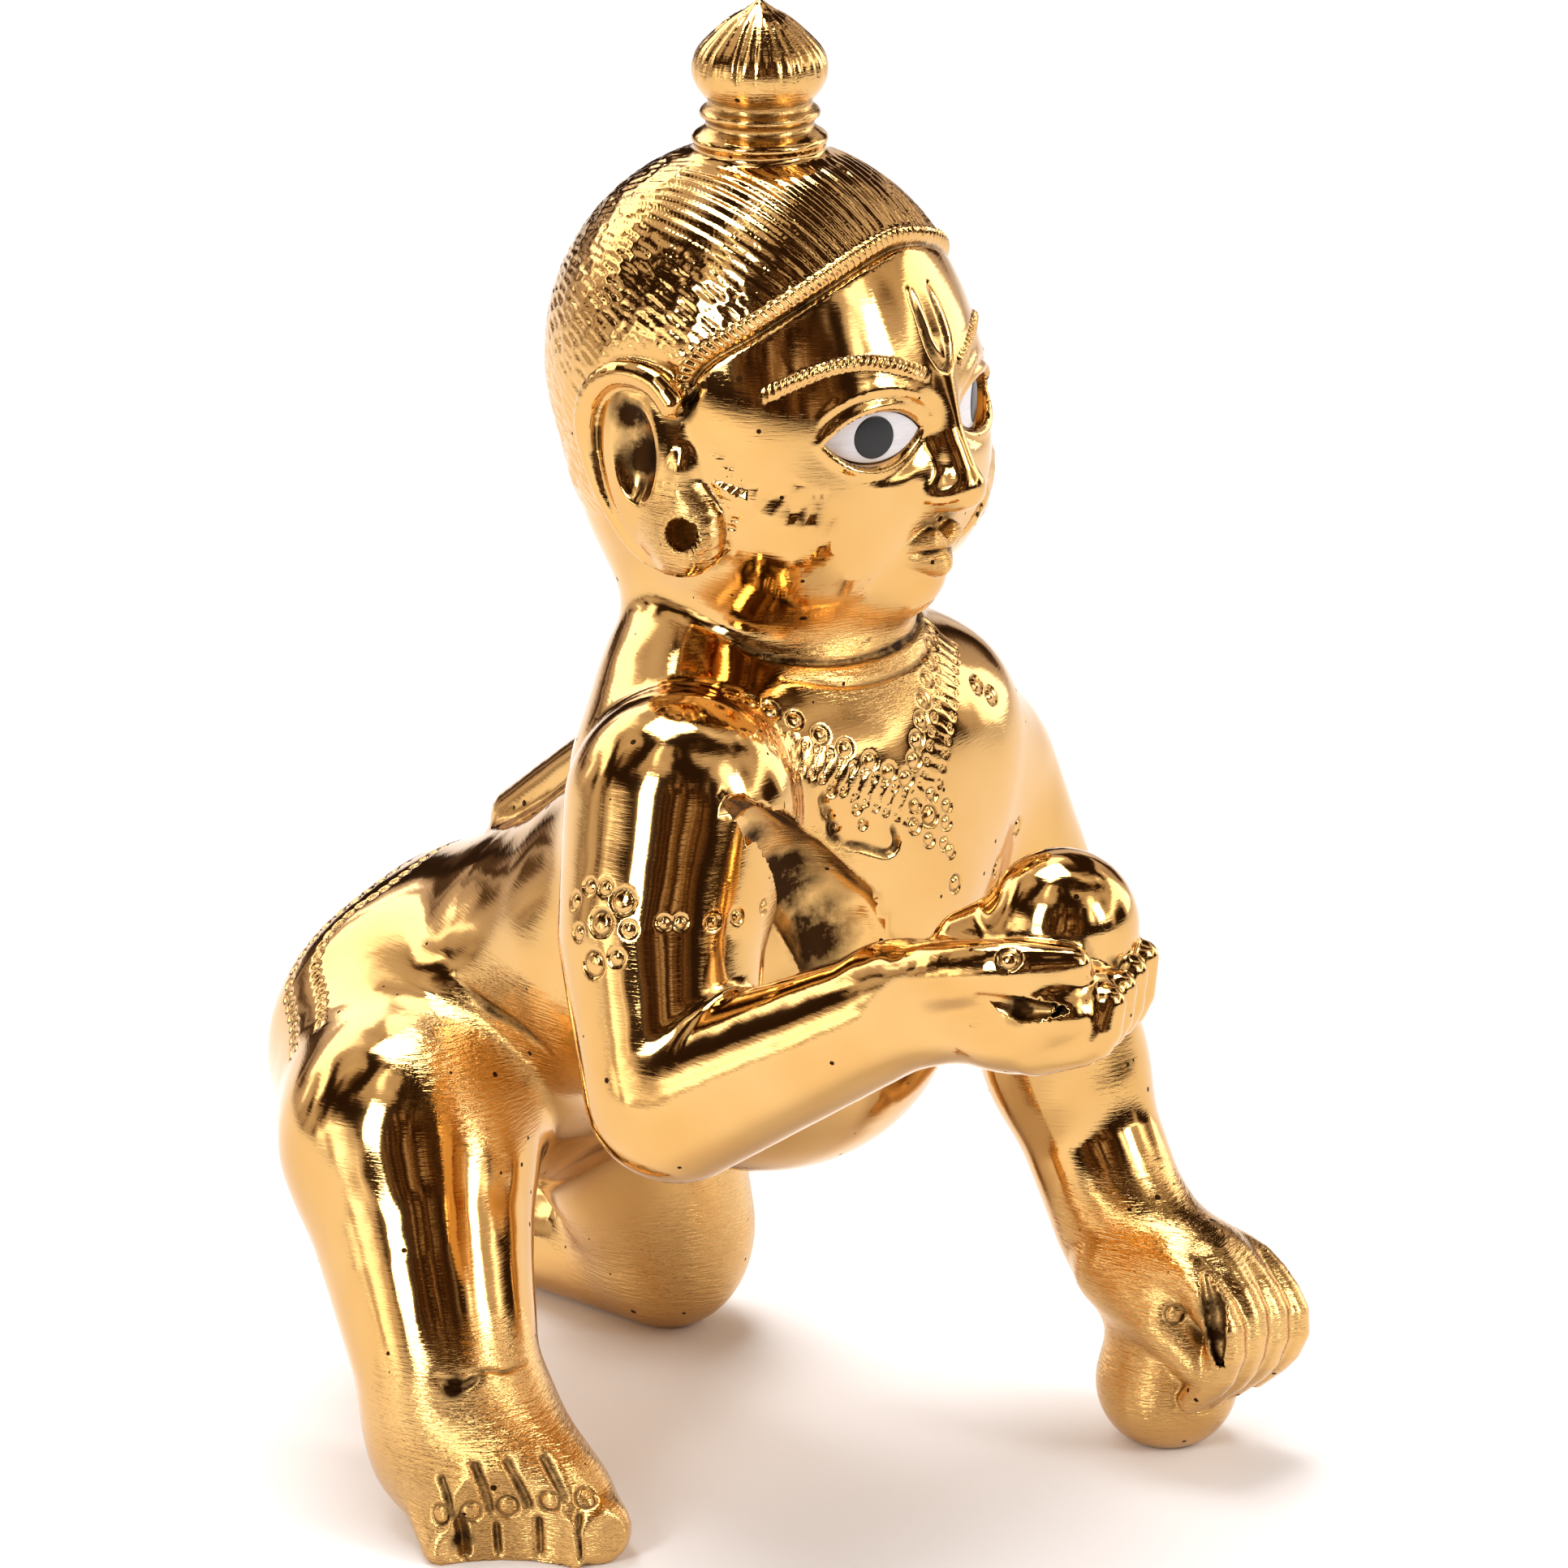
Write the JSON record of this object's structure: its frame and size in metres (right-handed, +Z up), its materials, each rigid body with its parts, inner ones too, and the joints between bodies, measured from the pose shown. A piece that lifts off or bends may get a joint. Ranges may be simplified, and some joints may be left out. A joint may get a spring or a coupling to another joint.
{
  "type": "crawling laddu gopal idol",
  "caption": "Solid cast brass idol of the crawling child deity, a sweet ball held on its right palm and another under its left hand, with inlaid almond eyes.",
  "frame": {"origin": "on the surface that it stands on, under the middle of its box", "axes": "+Z up, the figure faces -Y, and its left side is +X"},
  "size_m": [0.0558, 0.0874, 0.1018],
  "materials": {
    "cast_brass": "polished yellow brass, filed and engraved by hand, dark in the deep cuts",
    "eye_shell": "smooth white inlay with a black pupil"
  },
  "bodies": {
    "root": {"idol": "cast_brass", "eye_right": "eye_shell", "eye_left": "eye_shell"}
  },
  "joints": []
}
